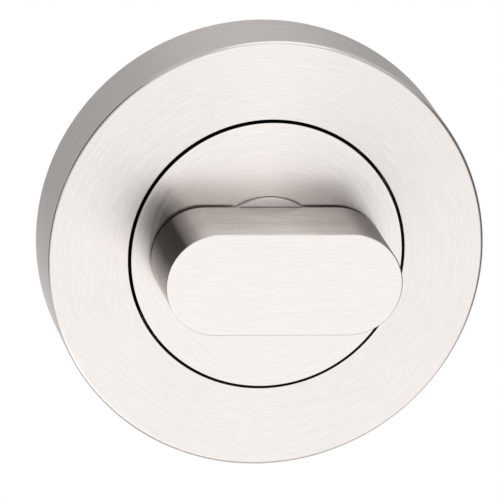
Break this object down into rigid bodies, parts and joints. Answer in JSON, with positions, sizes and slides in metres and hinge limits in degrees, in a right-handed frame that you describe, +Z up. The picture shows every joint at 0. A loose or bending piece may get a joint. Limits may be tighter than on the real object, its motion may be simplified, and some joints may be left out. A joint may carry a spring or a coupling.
{
  "type": "bathroom thumb turn",
  "caption": "Brushed stainless bathroom door thumb turn: a round-ended bar turn on a round rose with concealed fixings and a square spindle.",
  "frame": {"origin": "on the turn's axis in the plane of the door's face, where the rose sits on the door", "axes": "+Y into the door along the turn's axis, +Z up, +X to the right as the turn is seen from the room, so the turn stands out along -Y"},
  "size_m": [0.052, 0.067, 0.052],
  "materials": {
    "brushed_stainless": "brushed",
    "zinc_casting": "as cast",
    "bush_plastic": "moulded",
    "spring_steel": "oiled",
    "pressed_steel": "plated",
    "plated_steel": "plated",
    "screw_steel": "plated"
  },
  "bodies": {
    "rose": {"rose_cover": "brushed_stainless", "centre_disc": "brushed_stainless", "base_plate": "zinc_casting", "neck_bush": "bush_plastic", "spring_washer": "spring_steel", "cover_grub_screw": "screw_steel", "disc_screws": "screw_steel", "fixing_screws": "screw_steel"},
    "turn": {"thumb_turn": "brushed_stainless", "spindle": "plated_steel", "spindle_pin": "spring_steel", "stop_cam": "pressed_steel", "retaining_ring": "spring_steel"}
  },
  "joints": [
    {"name": "turn_rotation", "type": "hinge", "parent": "rose", "child": "turn", "pos_m": [0, 0, 0], "axis": [0, 1, 0], "range_deg": [0, 90]}
  ]
}
